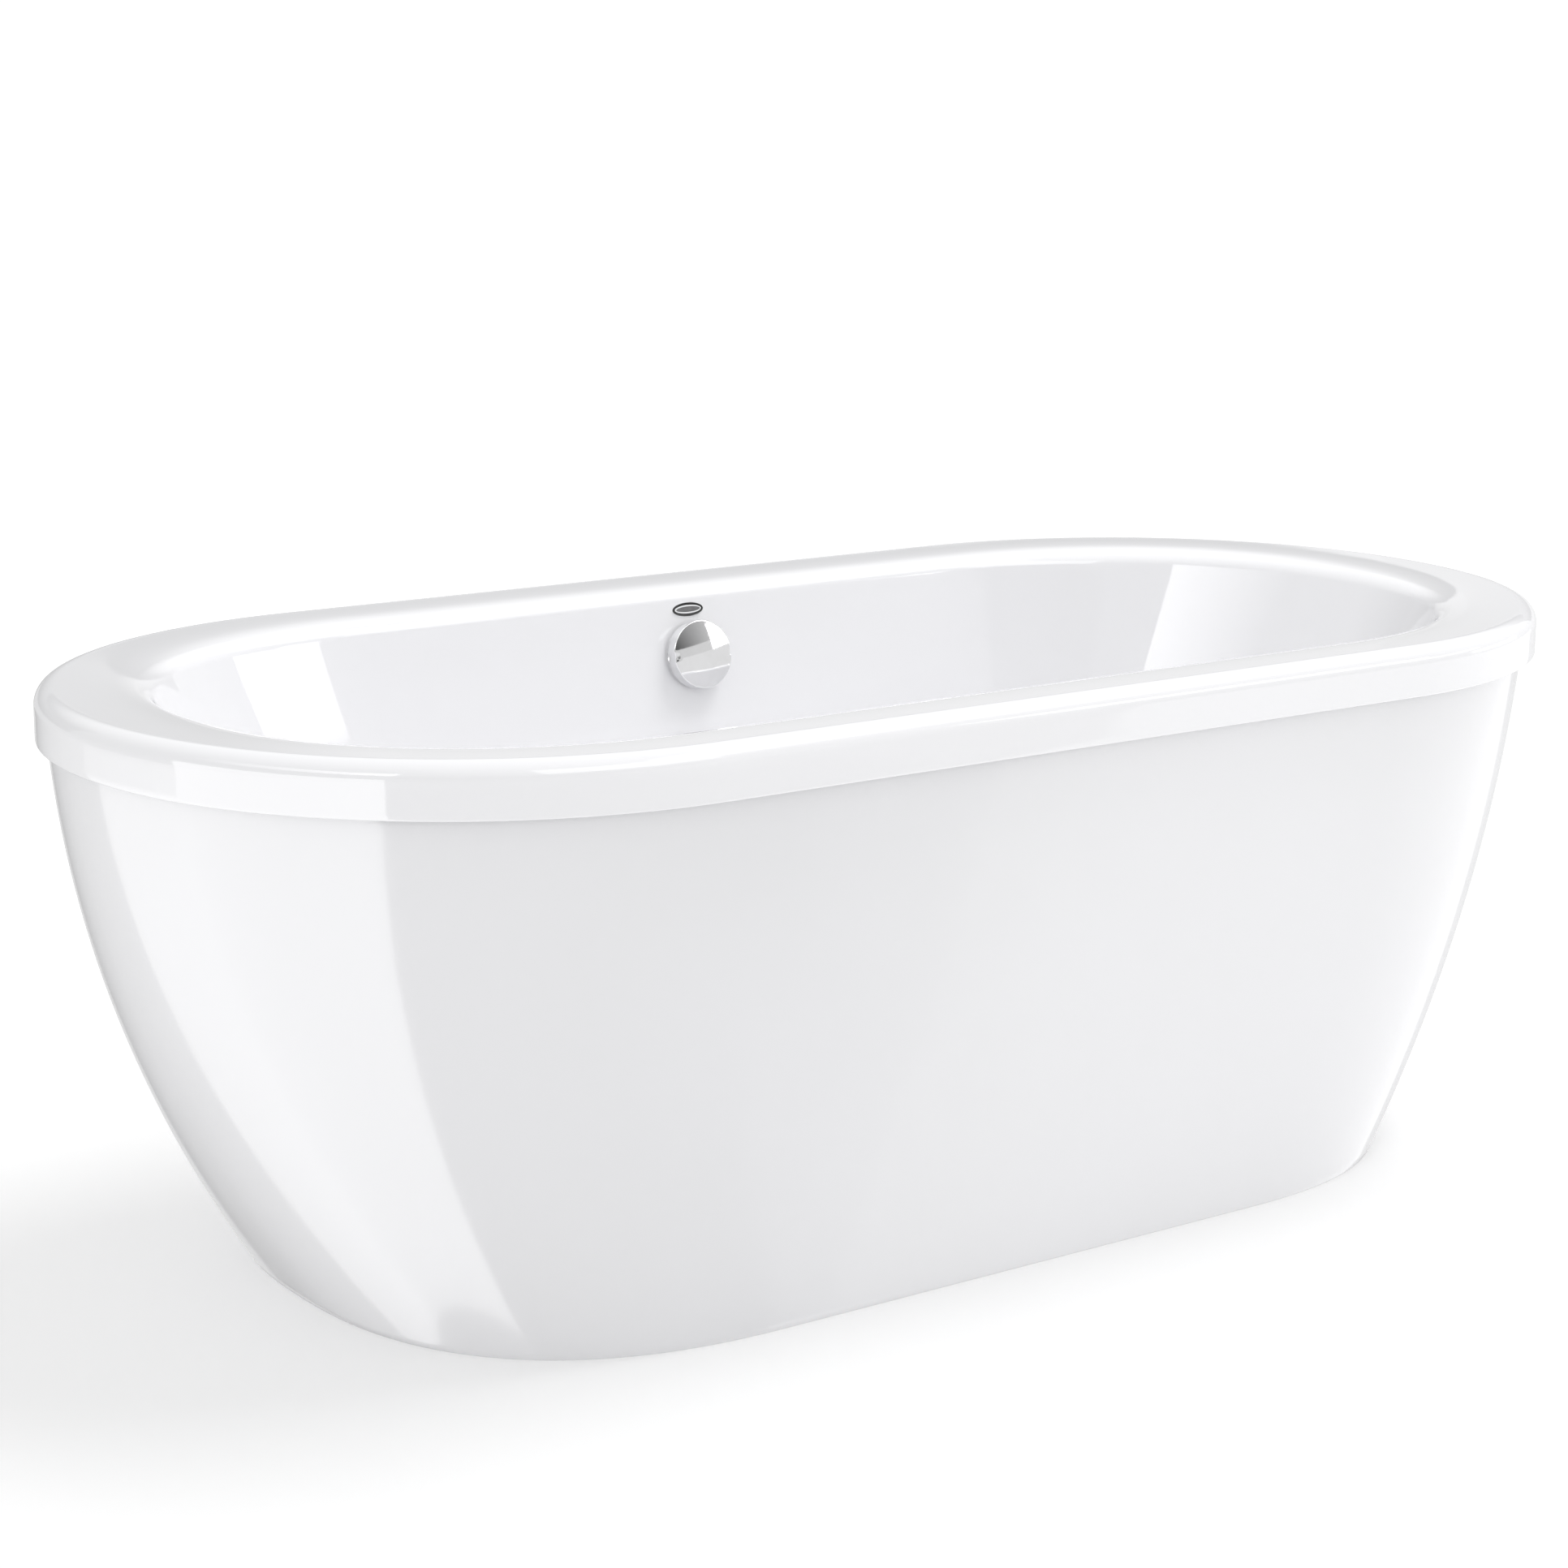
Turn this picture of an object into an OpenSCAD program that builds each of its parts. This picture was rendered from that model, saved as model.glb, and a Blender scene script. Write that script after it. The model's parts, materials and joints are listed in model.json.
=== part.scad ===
// Freestanding double-ended bath with its frame, feet, waste and overflow.
// Millimetres. +X runs along the bath, +Y towards the overflow side, +Z up.
// The origin is on the floor, below the middle of the rim.

/* [Rim] */
// Overall length
bath_l = 1676.4; // [1600:0.1:1760]
// Overall width
bath_w = 812.8; // [800:0.1:860]
// Overall height
bath_h = 584.2; // [575:0.1:610]
// Length of each rounded end of the rim
rim_end = 420; // [400:1:440]
// Roundness exponent of the rim's ends, 2 is an ellipse
rim_exp = 2.04; // [2:0.01:2.4]
// Height of the turned-down lip
lip_h = 50.4; // [45:0.1:55]
// Radius of the rim's upper outside edge
rim_r = 18; // [12:1:20]
// Fall of the deck from the rim's edge to the well
deck_fall = 5; // [2:0.5:8]

/* [Well] */
// Half length of the well at the deck
well_a = 746; // [720:1:760]
// Half width of the well at the deck
well_b = 327; // [315:1:335]
// Length of each rounded end of the well at the deck
well_end = 350; // [320:1:360]
// Roundness exponent of the well at the deck
well_exp = 2.14; // [2:0.01:2.4]
// Length of each rounded end of the well's floor
floor_end = 230; // [200:1:260]
// Roundness exponent of the well's floor
floor_exp = 2.5; // [2.2:0.1:3]
// Depth over which the deck rolls into the wall
roll_drop = 13.5; // [8:0.5:16]
// Lean of the two end walls from upright, the backrests
end_lean = 28; // [25:0.5:30]
// Lean of the two long walls from upright
side_lean = 13.5; // [12:0.5:15]
// Radius between an end wall and the floor
end_fillet = 90; // [70:1:100]
// Radius between a long wall and the floor
side_fillet = 50; // [40:1:60]
// Height of the well's floor above the ground
floor_z = 165; // [160:1:172]
// Thickness of the acrylic with its glass fibre backing
wall_t = 6; // [5:0.5:7]

/* [Skirt] */
// Half length of the skirt at the ground
foot_a = 630; // [600:1:660]
// Half width of the skirt at the ground
foot_b = 327.5; // [315:0.5:340]
// Length of each rounded end of the skirt at the ground
foot_end = 345; // [320:1:360]
// Roundness exponent of the skirt at the ground
foot_exp = 2.46; // [2.2:0.01:2.8]
// Outward belly of the skirt's ends
belly_a = 0.78; // [0.5:0.01:0.9]
// Outward belly of the skirt's long sides
belly_b = 0.2; // [0:0.01:0.4]
// How far the skirt's top sits inside the lip at the ends
tuck_a = 9.5; // [8:0.1:14]
// How far the skirt's top sits inside the lip at the sides
tuck_b = 18; // [12:0.1:20]
// Thickness of the skirt
skirt_t = 5; // [4:0.5:6]
// Width of the skirt's inward foot flange
flange_w = 35; // [25:1:40]

/* [Frame] */
// Side of the square steel tube
tube_w = 30; // [25:1:32]
// Wall of the square steel tube
tube_t = 2; // [1.5:0.1:3]
// Thickness of the plywood base board
board_t = 15; // [12:1:18]
// Distance of each rail from the centre line
rail_y = 140; // [130:1:145]
// Distance of the outer cross members from the middle
cross_x = 420; // [380:1:430]
// Place of the middle cross member along the bath
cross_mid_x = -120; // [-160:1:-90]
// Distance of the corner feet from the centre line
foot_y = 215; // [190:1:225]
// Radius of the M12 levelling stems
stem_r = 6; // [5:0.5:6]

/* [Waste and overflow] */
// Place of the waste and overflow along the bath
waste_x = 24; // [0:1:40]
// Place of the drain across the bath
drain_y = 80; // [70:1:85]
// Height of the overflow's centre
overflow_z = 507.5; // [500:0.5:515]
// Radius of the turning knob
knob_r = 37; // [36:1:40]
// Angle the knob turns from closed to open
knob_turn = 80; // [60:1:90]
// Lift of the plug from closed to open
plug_lift = 12; // [8:1:14]
// Outside radius of the tailpiece, 1 1/2 inch tube
tail_r = 19.05; // [16:0.05:20]
// Width of the oval badge
badge_w = 40; // [30:1:44]
// Height of the oval badge
badge_h = 15; // [10:1:16]

/* [Hidden] */

$fn = 64;
eps = 0.01;
cap_steps = 36;                 // steps round each rounded end of a section
seg = 2 * (cap_steps + 1);      // points round a whole section
run_gap = 0.05;                 // radial clearance of a running fit

white = [0.95, 0.95, 0.94];
chrome = [0.82, 0.83, 0.85];
steel = [0.55, 0.57, 0.6];
grey_paint = [0.35, 0.36, 0.38];
plastic = [0.16, 0.16, 0.17];
rubber = [0.08, 0.08, 0.08];
brass = [0.78, 0.66, 0.38];
plywood = [0.76, 0.62, 0.42];

// ---- Outlines of the bath ----
rim_a = bath_l / 2;
rim_b = bath_w / 2;
lip_z = bath_h - lip_h;
deck_z = bath_h - deck_fall;
deck_tilt = 4;
edge_steps = 4;
roll_steps = 5;
wall_steps = 3;
fillet_steps = 8;
roll_z = deck_z - roll_drop;

// A section is [half length, half width, end length, exponent, height].
// Point j of its outline: a rounded right end, a straight side and a left end.
function track(s, j) =
    let (right = j <= cap_steps,
         t = right ? 180 * j / cap_steps - 90 : 180 * (j - cap_steps - 1) / cap_steps + 90,
         u = pow(abs(cos(t)), 2 / s[3]), v = pow(abs(sin(t)), 2 / s[3]))
    [(right ? 1 : -1) * (s[0] - s[2] + s[2] * u), sign(sin(t)) * s[1] * v, s[4]];
function inset(s, d, z) = [s[0] - d, s[1] - d, s[2] - d, s[3], z];
function mix(a, b, f) = a + (b - a) * f;
function reversed(v) = [for (i = [len(v) - 1 : -1 : 0]) v[i]];

// Joins closed sections, ordered so that the outside lies right of the path.
module loft(sections, closed = false) {
    m = len(sections);
    function id(i, j) = (i % m) * seg + j % seg;
    points = [for (s = sections, j = [0 : seg - 1]) track(s, j)];
    sides = [for (i = [0 : m - (closed ? 1 : 2)], j = [0 : seg - 1])
        each [[id(i, j), id(i + 1, j + 1), id(i, j + 1)],
              [id(i, j), id(i + 1, j), id(i + 1, j + 1)]]];
    caps = closed ? [] : [[for (j = [0 : seg - 1]) id(0, j)],
                          [for (j = [seg - 1 : -1 : 0]) id(m - 1, j)]];
    polyhedron(points, concat(sides, caps), convexity = 8);
}

// How far the well's wall lies inside the deck's inner edge at height z.
function well_inset(z, lean, fillet) =
    let (r = roll_drop / (cos(deck_tilt) - sin(lean)),
         at_roll = r * (cos(lean) - sin(deck_tilt)),
         fillet_z = floor_z + fillet * (1 - sin(lean)),
         at_fillet = at_roll + (roll_z - fillet_z) * tan(lean))
    z >= roll_z
        ? r * (sqrt(1 - pow(cos(deck_tilt) - (deck_z - z) / r, 2)) - sin(deck_tilt))
    : z >= fillet_z
        ? at_roll + (roll_z - z) * tan(lean)
        : at_fillet + fillet * cos(lean)
            - sqrt(max(0, fillet * fillet - pow(floor_z + fillet - z, 2)));
function well_section(z) =
    let (f = (deck_z - z) / (deck_z - floor_z))
    [well_a - well_inset(z, end_lean, end_fillet),
     well_b - well_inset(z, side_lean, side_fillet),
     mix(well_end, floor_end, f), mix(well_exp, floor_exp, f), z];

rim_section = [rim_a, rim_b, rim_end, rim_exp, lip_z];
deck_edge = inset(rim_section, rim_r, bath_h);
fillet_top = floor_z + end_fillet;
// The well's heights, from the deck down to the floor
well_heights = concat(
    [for (i = [0 : roll_steps]) deck_z - roll_drop * (1 - cos(90 * i / roll_steps))],
    [for (i = [1 : wall_steps]) mix(roll_z, fillet_top, i / wall_steps)],
    [for (i = [1 : fillet_steps]) fillet_top - end_fillet * sin(90 * i / fillet_steps)]);
basin_face = concat(
    [rim_section],
    [for (i = [0 : edge_steps]) let (q = 90 * i / edge_steps)
        inset(rim_section, rim_r * (1 - cos(q)), bath_h - rim_r * (1 - sin(q)))],
    [mix(deck_edge, well_section(deck_z), 0.5)],
    [for (z = well_heights) well_section(z)]);
last_face = len(basin_face) - 1;

// The face's direction at section i, averaged over the ends and the sides.
function face_dir(i) =
    let (p = basin_face[max(i - 1, 0)], q = basin_face[min(i + 1, last_face)],
         d = [(q[0] + q[1] - p[0] - p[1]) / 2, q[4] - p[4]])
    i == last_face ? [-1, 0] : d / norm(d);
basin_back = [for (i = [0 : last_face]) let (d = face_dir(i))
    inset(basin_face[i], wall_t * d.y, basin_face[i][4] + wall_t * d.x)];

function half_width(z) = well_section(z)[1];

// The skirt's section at height z up to the lip.
function skirt_section(z) =
    let (s = z / lip_z, fa = s + belly_a * s * (1 - s), fb = s + belly_b * s * (1 - s))
    [mix(foot_a, rim_a - tuck_a, fa), mix(foot_b, rim_b - tuck_b, fb),
     mix(foot_end, rim_end - tuck_a, fa), mix(foot_exp, rim_exp, fa), z];
skirt_steps = 12;
bead_in = 24;                   // rim edge to the skirt's hidden top edge
bead_w = 10;
skirt_top = bath_h - 12;
skirt_shoulder = lip_z + 14;
skirt_outer = concat(
    [for (i = [0 : skirt_steps]) skirt_section(lip_z * i / skirt_steps)],
    [inset(rim_section, bead_in, skirt_shoulder), inset(rim_section, bead_in, skirt_top)]);

// ---- Heights of the frame ----
board_z = floor_z - wall_t - board_t;
rail_z = board_z - tube_w;
cross_z = rail_z - tube_w;
rail_l = 2 * cross_x + tube_w + 10;
cross_l = 570;
board_l = 900;
board_w = 330;
board_r = 40;
crosses = [-cross_x, cross_mid_x, cross_x];
feet = [[-cross_x, -foot_y], [cross_x, -foot_y], [-cross_x, foot_y], [cross_x, foot_y],
        [cross_mid_x, 0]];
board_screw_x = [-350, -220, 150, 300];
bolt_r = 4;
screw_r = 2.5;
bracket_t = 3;
bracket_w = 30;
bracket_foot = 17;

// ---- Waste, measured from the drain's own axis ----
tube_r = 23.75;                 // threaded tube of the drain flange
shoe_r = 32;
shoe_in = 28;
shoe_top = floor_z - wall_t - 3;
shoe_base = 76;
neck_z = 50;
pivot_y = -22;
pivot_z = 112;
arm_l = 22.75;                  // lever pivot to the tip and to the crank's pin
lever_rest = -asin(plug_lift / 2 / arm_l);
shaft_r = 3;
crank_x = 36;
pin_z = pivot_z - arm_l * cos(lever_rest);
pin_y = pivot_y + arm_l * sin(lever_rest);
inlet_z = 92;
spigot_r = 17;
hose_r = 20;

// ---- Overflow, measured on the wall: z out of the wall, y up the wall ----
wall_y = half_width(overflow_z);
body_r = 34;
body_back = -48;
spigot_z = -30;
spindle_r = 5;
cam_r = plug_lift / (knob_turn * PI / 180);
cam_z = -56;
knob_front = 22;
knob_back = 5;
seal_back = -wall_t - 3;

module on_drain(z = 0) {
    translate([waste_x, drain_y, z]) children();
}
module on_wall(z = overflow_z) {
    translate([waste_x, half_width(z), z]) rotate([90 - side_lean, 0, 0]) children();
}
// The same place as on_wall(), for points
function wall_point(p) = [waste_x + p.x,
    wall_y + p.y * sin(side_lean) - p.z * cos(side_lean),
    overflow_z + p.y * cos(side_lean) + p.z * sin(side_lean)];

module tube(r_out, r_in, h) {
    difference() {
        cylinder(r = r_out, h = h);
        translate([0, 0, -eps]) cylinder(r = r_in, h = h + 2 * eps);
    }
}
module hex_nut(r, bore, h) {
    difference() {
        cylinder(r = r, h = h, $fn = 6);
        translate([0, 0, -eps]) cylinder(r = bore, h = h + 2 * eps);
    }
}
// A centred square tube of length l along X
module box_tube(l) {
    difference() {
        translate([-l / 2, -tube_w / 2, 0]) cube([l, tube_w, tube_w]);
        translate([-l / 2 - 1, -tube_w / 2 + tube_t, tube_t])
            cube([l + 2, tube_w - 2 * tube_t, tube_w - 2 * tube_t]);
    }
}

// ---- Swept tubes: a smooth curve through a few points ----
function spline(p, i, f) =
    let (n = len(p) - 1, a = p[max(i - 1, 0)], b = p[i], c = p[min(i + 1, n)],
         d = p[min(i + 2, n)])
    0.5 * (2 * b + (c - a) * f + (2 * a - 5 * b + 4 * c - d) * f * f
           + (3 * b - a - 3 * c + d) * f * f * f);
function smooth_path(p, steps) = concat(
    [for (i = [0 : len(p) - 2], k = [0 : steps - 1]) spline(p, i, k / steps)],
    [p[len(p) - 1]]);
function unit(v) = v / norm(v);
function path_dir(p, i) = unit(p[min(i + 1, len(p) - 1)] - p[max(i - 1, 0)]);
// Every route here lies near the YZ plane, so X gives a steady sideways axis.
function path_ring(p, i, r, sides) =
    let (d = path_dir(p, i), u = unit([1, 0, 0] - d * d.x), v = cross(d, u))
    [for (k = [0 : sides - 1]) let (a = 360 * (k + 0.5) / sides)
        p[i] + r * (u * cos(a) + v * sin(a))];
module sweep_solid(p, r, sides) {
    m = len(p);
    points = [for (i = [0 : m - 1]) each path_ring(p, i, r, sides)];
    function id(i, k) = i * sides + k % sides;
    side_faces = [for (i = [0 : m - 2], k = [0 : sides - 1])
        each [[id(i, k), id(i + 1, k + 1), id(i, k + 1)],
              [id(i, k), id(i + 1, k), id(i + 1, k + 1)]]];
    caps = [[for (k = [0 : sides - 1]) id(0, k)],
            [for (k = [sides - 1 : -1 : 0]) id(m - 1, k)]];
    polyhedron(points, concat(side_faces, caps), convexity = 8);
}
module sweep_tube(p, r_out, r_in, sides) {
    m = len(p);
    points = concat([for (i = [0 : m - 1]) each path_ring(p, i, r_out, sides)],
                    [for (i = [0 : m - 1]) each path_ring(p, i, r_in, sides)]);
    function outer(i, k) = i * sides + k % sides;
    function inner(i, k) = (m + i) * sides + k % sides;
    faces = [for (i = [0 : m - 2], k = [0 : sides - 1])
        each [[outer(i, k), outer(i + 1, k + 1), outer(i, k + 1)],
              [outer(i, k), outer(i + 1, k), outer(i + 1, k + 1)],
              [inner(i, k), inner(i, k + 1), inner(i + 1, k + 1)],
              [inner(i, k), inner(i + 1, k + 1), inner(i + 1, k)]]];
    ends = [for (k = [0 : sides - 1])
        each [[outer(0, k), outer(0, k + 1), inner(0, k + 1)],
              [outer(0, k), inner(0, k + 1), inner(0, k)],
              [outer(m - 1, k), inner(m - 1, k + 1), outer(m - 1, k + 1)],
              [outer(m - 1, k), inner(m - 1, k), inner(m - 1, k + 1)]]];
    polyhedron(points, concat(faces, ends), convexity = 8);
}

sheath_r = 3;
sheath_in = 1.4;
wire_r = 0.9;
guide_end = 32;                 // end of the cable guide, from the drain's axis
guide_mouth = [waste_x + crank_x, drain_y + guide_end, pin_z];
cam_exit = [cam_r, -40, cam_z];
// The first and last two points of each route keep its ends straight.
sheath_route = [guide_mouth, guide_mouth + [0, 12, 0], guide_mouth + [0, 24, 0],
                [60, 180, 92], [60, 220, 108], [60, 250, 142], [60, 268, 190],
                [59, 284, 250], [54, 302, 320], [44, 318, 375],
                wall_point(cam_exit - [0, 24, 0]), wall_point(cam_exit - [0, 12, 0]),
                wall_point(cam_exit)];
wire_route = concat(sheath_route, [wall_point([cam_r, -20, cam_z]),
                                   wall_point([cam_r, -1, cam_z])]);
hose_route = [wall_point([0, -44, spigot_z]), wall_point([0, -58, spigot_z]),
              wall_point([0, -72, spigot_z]), [waste_x, 293, 365], [waste_x, 279, 305],
              [waste_x, 262, 235], [waste_x, 242, 170], [waste_x, 212, 120],
              [waste_x, 176, 96], [waste_x, 148, inlet_z], [waste_x, 133, inlet_z],
              [waste_x, 118, inlet_z]];

// ---- Shell ----
module basin() {
    color(white) difference() {
        loft(concat(reversed(basin_back), basin_face));
        on_drain(floor_z - 2 * wall_t) cylinder(r = tube_r + 0.75, h = 4 * wall_t);
        on_wall() translate([0, 0, -2 * wall_t]) cylinder(r = 26, h = 4 * wall_t);
    }
}
module skirt() {
    foot = skirt_section(0);
    inner = [for (s = reversed(skirt_outer)) inset(s, skirt_t, max(s[4], skirt_t))];
    color(white) loft(concat(skirt_outer, inner,
        [inset(foot, flange_w + skirt_t, skirt_t), inset(foot, flange_w + skirt_t, 0)]),
        closed = true);
}
module rim_bead() {
    deck_run = rim_b - rim_r - well_b;
    function under_deck(d) = bath_h - deck_fall * (d - rim_r) / deck_run - wall_t - 0.2;
    color([0.9, 0.9, 0.88]) loft([
        inset(rim_section, bead_in, skirt_top),
        inset(rim_section, bead_in, under_deck(bead_in)),
        inset(rim_section, bead_in + bead_w, under_deck(bead_in + bead_w)),
        inset(rim_section, bead_in + bead_w, skirt_top)], closed = true);
}
module oval_badge() {
    // A plain raised rim round a sunken field with a single bar
    rim_w = 2.2;
    color(chrome) on_wall(deck_z - roll_drop - badge_h / 2 - 1) {
        difference() {
            oval(badge_w / 2, badge_h / 2, 2);
            translate([0, 0, 1]) oval(badge_w / 2 - rim_w, badge_h / 2 - rim_w, 2);
        }
        translate([-badge_w / 4, -badge_h / 10, 0.9]) cube([badge_w / 2, badge_h / 5, 0.6]);
    }
}
// An oval plate made of two end arcs of radius rb joined by flat-topped arcs
module oval(ra, rb, h) {
    // Two large circles cross to make the long arcs, two small ones round the tips
    tip = rb * 0.55;
    d = ra - tip;
    big = (d * d + rb * rb - tip * tip) / (2 * (rb - tip));
    intersection() {
        translate([0, rb - big, 0]) cylinder(r = big, h = h, $fn = 128);
        translate([0, big - rb, 0]) cylinder(r = big, h = h, $fn = 128);
        translate([-d - tip, -rb, 0]) cube([2 * ra, 2 * rb, h]);
    }
}

// ---- Frame ----
module base_board() {
    color(plywood) difference() {
        translate([0, 0, board_z]) union() {
            translate([-board_l / 2 + board_r, -board_w / 2, 0])
                cube([board_l - 2 * board_r, board_w, board_t]);
            translate([-board_l / 2, -board_w / 2 + board_r, 0])
                cube([board_l, board_w - 2 * board_r, board_t]);
            for (x = [-1, 1], y = [-1, 1])
                translate([x * (board_l / 2 - board_r), y * (board_w / 2 - board_r), 0])
                    cylinder(r = board_r, h = board_t);
        }
        on_drain(board_z - 1) cylinder(r = 44, h = board_t + 2);
        for (x = board_screw_x, y = [-rail_y, rail_y])
            translate([x, y, board_z - 1]) cylinder(r = screw_r, h = board_t - 3, $fn = 24);
    }
}
module rail(y) {
    color(grey_paint) difference() {
        translate([0, y, rail_z]) box_tube(rail_l);
        for (x = crosses)
            translate([x, y, rail_z - 1]) cylinder(r = bolt_r, h = tube_t + 2, $fn = 32);
        for (x = board_screw_x)
            translate([x, y, rail_z - 1]) cylinder(r = screw_r, h = tube_w + 2, $fn = 24);
    }
}
module rail_front() { rail(-rail_y); }
module rail_back() { rail(rail_y); }
module cross_member(x, foot_list) {
    color(grey_paint) difference() {
        translate([x, 0, cross_z]) rotate([0, 0, 90]) box_tube(cross_l);
        for (y = [-rail_y, rail_y])
            translate([x, y, cross_z - 1]) cylinder(r = bolt_r, h = tube_w + 2, $fn = 32);
        for (y = foot_list) {
            translate([x, y, cross_z - 1]) cylinder(r = 8.6, h = tube_t + 2, $fn = 32);
            translate([x, y, cross_z + tube_w / 2]) cylinder(r = 7.5, h = tube_w, $fn = 32);
        }
        for (y = [-1, 1])
            translate([x, y * (cross_l / 2 - 12), cross_z + tube_w / 2])
                cylinder(r = screw_r, h = tube_w, $fn = 24);
    }
}
module cross_left() { cross_member(crosses[0], [-foot_y, foot_y]); }
module cross_middle() { cross_member(crosses[1], [0]); }
module cross_right() { cross_member(crosses[2], [-foot_y, foot_y]); }
module frame_bolts() {
    color(steel) for (x = crosses, y = [-rail_y, rail_y]) translate([x, y, 0]) {
        translate([0, 0, cross_z - 5.3]) cylinder(r = 7.5, h = 5.3, $fn = 6);
        translate([0, 0, cross_z - eps]) cylinder(r = bolt_r, h = tube_w + 12, $fn = 32);
    }
}
module frame_nuts() {
    color(steel) for (x = crosses, y = [-rail_y, rail_y])
        translate([x, y, rail_z + tube_t]) hex_nut(7.5, bolt_r, 6.5);
}
module board_screws() {
    color(steel) for (x = board_screw_x, y = [-rail_y, rail_y]) translate([x, y, 0]) {
        translate([0, 0, rail_z - 2.5]) cylinder(r = 5, h = 2.5, $fn = 24);
        translate([0, 0, rail_z - eps])
            cylinder(r = screw_r, h = tube_w + board_t - 4, $fn = 24);
    }
}
module bracket_places() {
    for (x = crosses, side = [0, 1])
        translate([x, 0, 0]) mirror([0, side, 0]) children();
}
module skirt_brackets() {
    end_y = cross_l / 2;
    color(steel) bracket_places() translate([-bracket_w / 2, 0, 0]) difference() {
        union() {
            translate([0, end_y - 24, cross_z + tube_w])
                cube([bracket_w, 24 + bracket_t, bracket_t]);
            translate([0, end_y, skirt_t])
                cube([bracket_w, bracket_t, cross_z + tube_w - skirt_t + eps]);
            translate([0, end_y, skirt_t]) cube([bracket_w, bracket_foot, bracket_t]);
        }
        translate([bracket_w / 2, end_y - 12, cross_z + tube_w - 1])
            cylinder(r = screw_r, h = bracket_t + 2, $fn = 24);
        translate([bracket_w / 2, end_y + 13, skirt_t - 1])
            cylinder(r = screw_r, h = bracket_t + 2, $fn = 24);
    }
}
module bracket_screws() {
    color(steel) bracket_places() {
        translate([0, cross_l / 2 - 12, cross_z + tube_w - 8]) {
            cylinder(r = screw_r, h = 8 + bracket_t + eps, $fn = 24);
            translate([0, 0, 8 + bracket_t]) cylinder(r = 5, h = 2.5, $fn = 24);
        }
        translate([0, cross_l / 2 + 13, skirt_t]) {
            cylinder(r = screw_r, h = bracket_t + eps, $fn = 24);
            translate([0, 0, bracket_t]) cylinder(r = 5, h = 2.5, $fn = 24);
        }
    }
}
module rivet_nuts() {
    color(steel) for (f = feet) translate([f.x, f.y, cross_z]) {
        translate([0, 0, -1.5]) tube(11, stem_r + run_gap, 1.5);
        translate([0, 0, -eps]) tube(8.5, stem_r + run_gap, 14);
    }
}
module lock_nuts() {
    color(steel) for (f = feet) translate([f.x, f.y, cross_z - 1.5 - 7])
        hex_nut(10.5, stem_r + run_gap, 7);
}
module foot_stem(i) {
    stem_top = cross_z + tube_w + 10;
    color(steel) translate([feet[i].x, feet[i].y, 0]) {
        translate([0, 0, 8]) cylinder(r = stem_r, h = stem_top - 8);
        translate([0, 0, 20]) cylinder(r = 11, h = 8, $fn = 6);
    }
}
module foot_pad(i) {
    color(plastic) translate([feet[i].x, feet[i].y, 0]) difference() {
        union() {
            cylinder(r = 25, h = 6);
            translate([0, 0, 6]) cylinder(r1 = 24, r2 = 12, h = 8);
            translate([0, 0, 14]) cylinder(r = 12, h = 5.5);
        }
        translate([0, 0, 8]) cylinder(r = stem_r, h = 20);
    }
}

// ---- Drain ----
module drain_flange() {
    lip = floor_z + 2;
    color(chrome) on_drain() difference() {
        union() {
            translate([0, 0, 125]) cylinder(r = tube_r, h = lip - 125 + eps);
            rotate_extrude($fn = 96) polygon([[0, lip], [37.5, lip], [38, lip + 0.8],
                [36, lip + 2], [31, lip + 2.6], [0, lip + 2.6]]);
        }
        // Waterway, open between the three ribs of the stem guide
        difference() {
            translate([0, 0, 124]) cylinder(r = 20.5, h = 60);
            translate([0, 0, 146]) {
                cylinder(r = 8, h = 6);
                for (a = [90 : 120 : 330]) rotate([0, 0, a])
                    translate([0, -2, 0]) cube([22, 4, 6]);
            }
        }
        translate([0, 0, lip - 1.5]) cylinder(r1 = 20.5, r2 = 29, h = 4.1 + eps);
        translate([0, 0, 140]) cylinder(r = 4 + run_gap, h = 20);
    }
}
module flange_seal() {
    color(rubber) on_drain(floor_z) tube(35, tube_r + 0.75, 2);
}
module shoe_seal() {
    color(rubber) on_drain(shoe_top) tube(35, tube_r + 0.75, 3);
}
module drain_shoe() {
    color(plastic) on_drain() difference() {
        union() {
            translate([0, 0, shoe_base - 4]) cylinder(r = shoe_r, h = shoe_top - shoe_base + 4);
            translate([0, 0, shoe_top - 6]) cylinder(r = 36, h = 6);
            translate([0, 0, neck_z]) cylinder(r = 24, h = shoe_base - neck_z);
            // Overflow inlet and its two lever bearings
            translate([0, 0, inlet_z]) rotate([-90, 0, 0]) cylinder(r = spigot_r, h = 55);
            translate([-26, pivot_y, pivot_z]) rotate([0, 90, 0]) cylinder(r = 7, h = 59);
            // Arm that holds the cable guide
            translate([20, 10, pin_z - 6]) cube([crank_x - 14, 10, 12]);
        }
        translate([0, 0, 125]) cylinder(r = tube_r, h = 60);
        translate([0, 0, shoe_base]) cylinder(r = shoe_in, h = 125 - shoe_base + eps);
        translate([0, 0, neck_z - 1]) cylinder(r = 20, h = 40);
        translate([0, 20, inlet_z]) rotate([-90, 0, 0]) cylinder(r = 14, h = 40);
        translate([-21, pivot_y, pivot_z]) rotate([0, 90, 0])
            cylinder(r = shaft_r + run_gap, h = 60, $fn = 32);
        translate([crank_x, 5, pin_z]) rotate([-90, 0, 0]) cylinder(r = 4, h = 20, $fn = 32);
    }
}
module drain_plug() {
    color(chrome) on_drain(floor_z + 1.6) rotate_extrude($fn = 96)
        polygon([[0, 0], [21.5, 0], [26.5, 3.2], [27, 4], [26, 5], [20, 6.4], [12, 7.4],
                 [0, 7.9]]);
}
module plug_seal() {
    color(rubber) on_drain(floor_z - 1) tube(20.2, 4, 2.6);
}
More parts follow.
